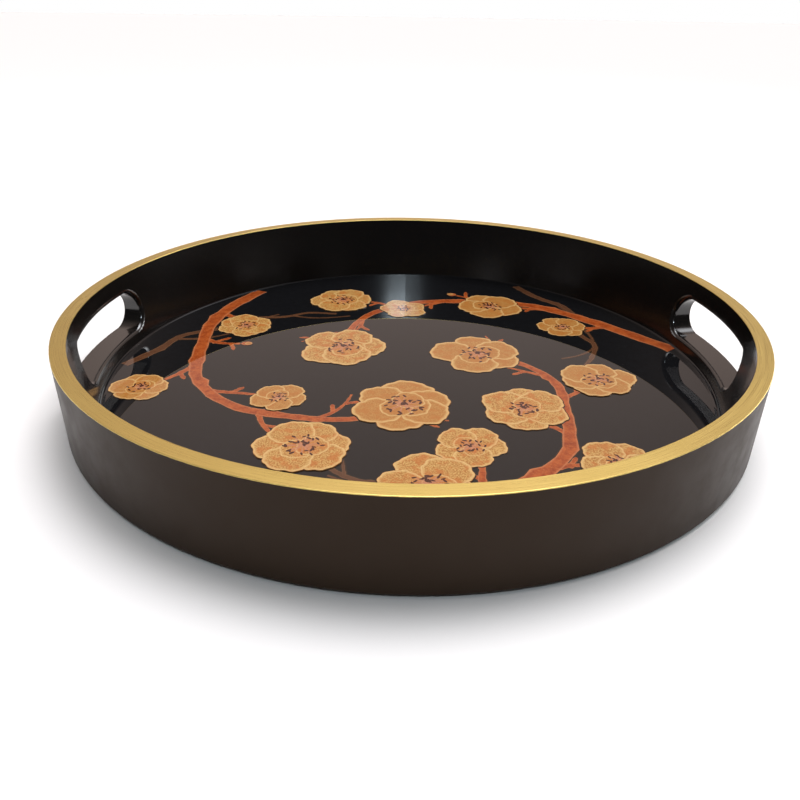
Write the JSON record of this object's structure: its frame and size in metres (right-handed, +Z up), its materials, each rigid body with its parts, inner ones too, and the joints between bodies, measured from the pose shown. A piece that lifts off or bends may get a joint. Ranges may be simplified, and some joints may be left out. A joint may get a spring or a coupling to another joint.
{
  "type": "serving tray",
  "caption": "Round lacquered serving tray with a flared wall, two hand holes, a gold rim and a glossy printed floor, for carrying drinks and dishes.",
  "frame": {"origin": "centre of the tray on the plane that its pads stand on", "axes": "+Z up along the tray's axis, +X through one hand hole, +Y towards the plain side of the wall"},
  "size_m": [0.35, 0.35, 0.0434],
  "materials": {
    "wall_lacquer": "fibreboard in black-brown lacquer, satin outside and gloss inside",
    "gold_band": "satin gold, fine turned lines",
    "board_lacquer": "fibreboard in satin black lacquer",
    "printed_sheet": "printed blossom branches on black",
    "clear_gloss": "clear high-gloss resin",
    "pad_rubber": "matt black non-slip"
  },
  "bodies": {
    "root": {"side_wall": "wall_lacquer", "rim_band": "gold_band", "base_board": "board_lacquer", "art_print": "printed_sheet", "clear_coat": "clear_gloss", "foot_pad_1": "pad_rubber", "foot_pad_2": "pad_rubber", "foot_pad_3": "pad_rubber", "foot_pad_4": "pad_rubber"}
  },
  "joints": []
}
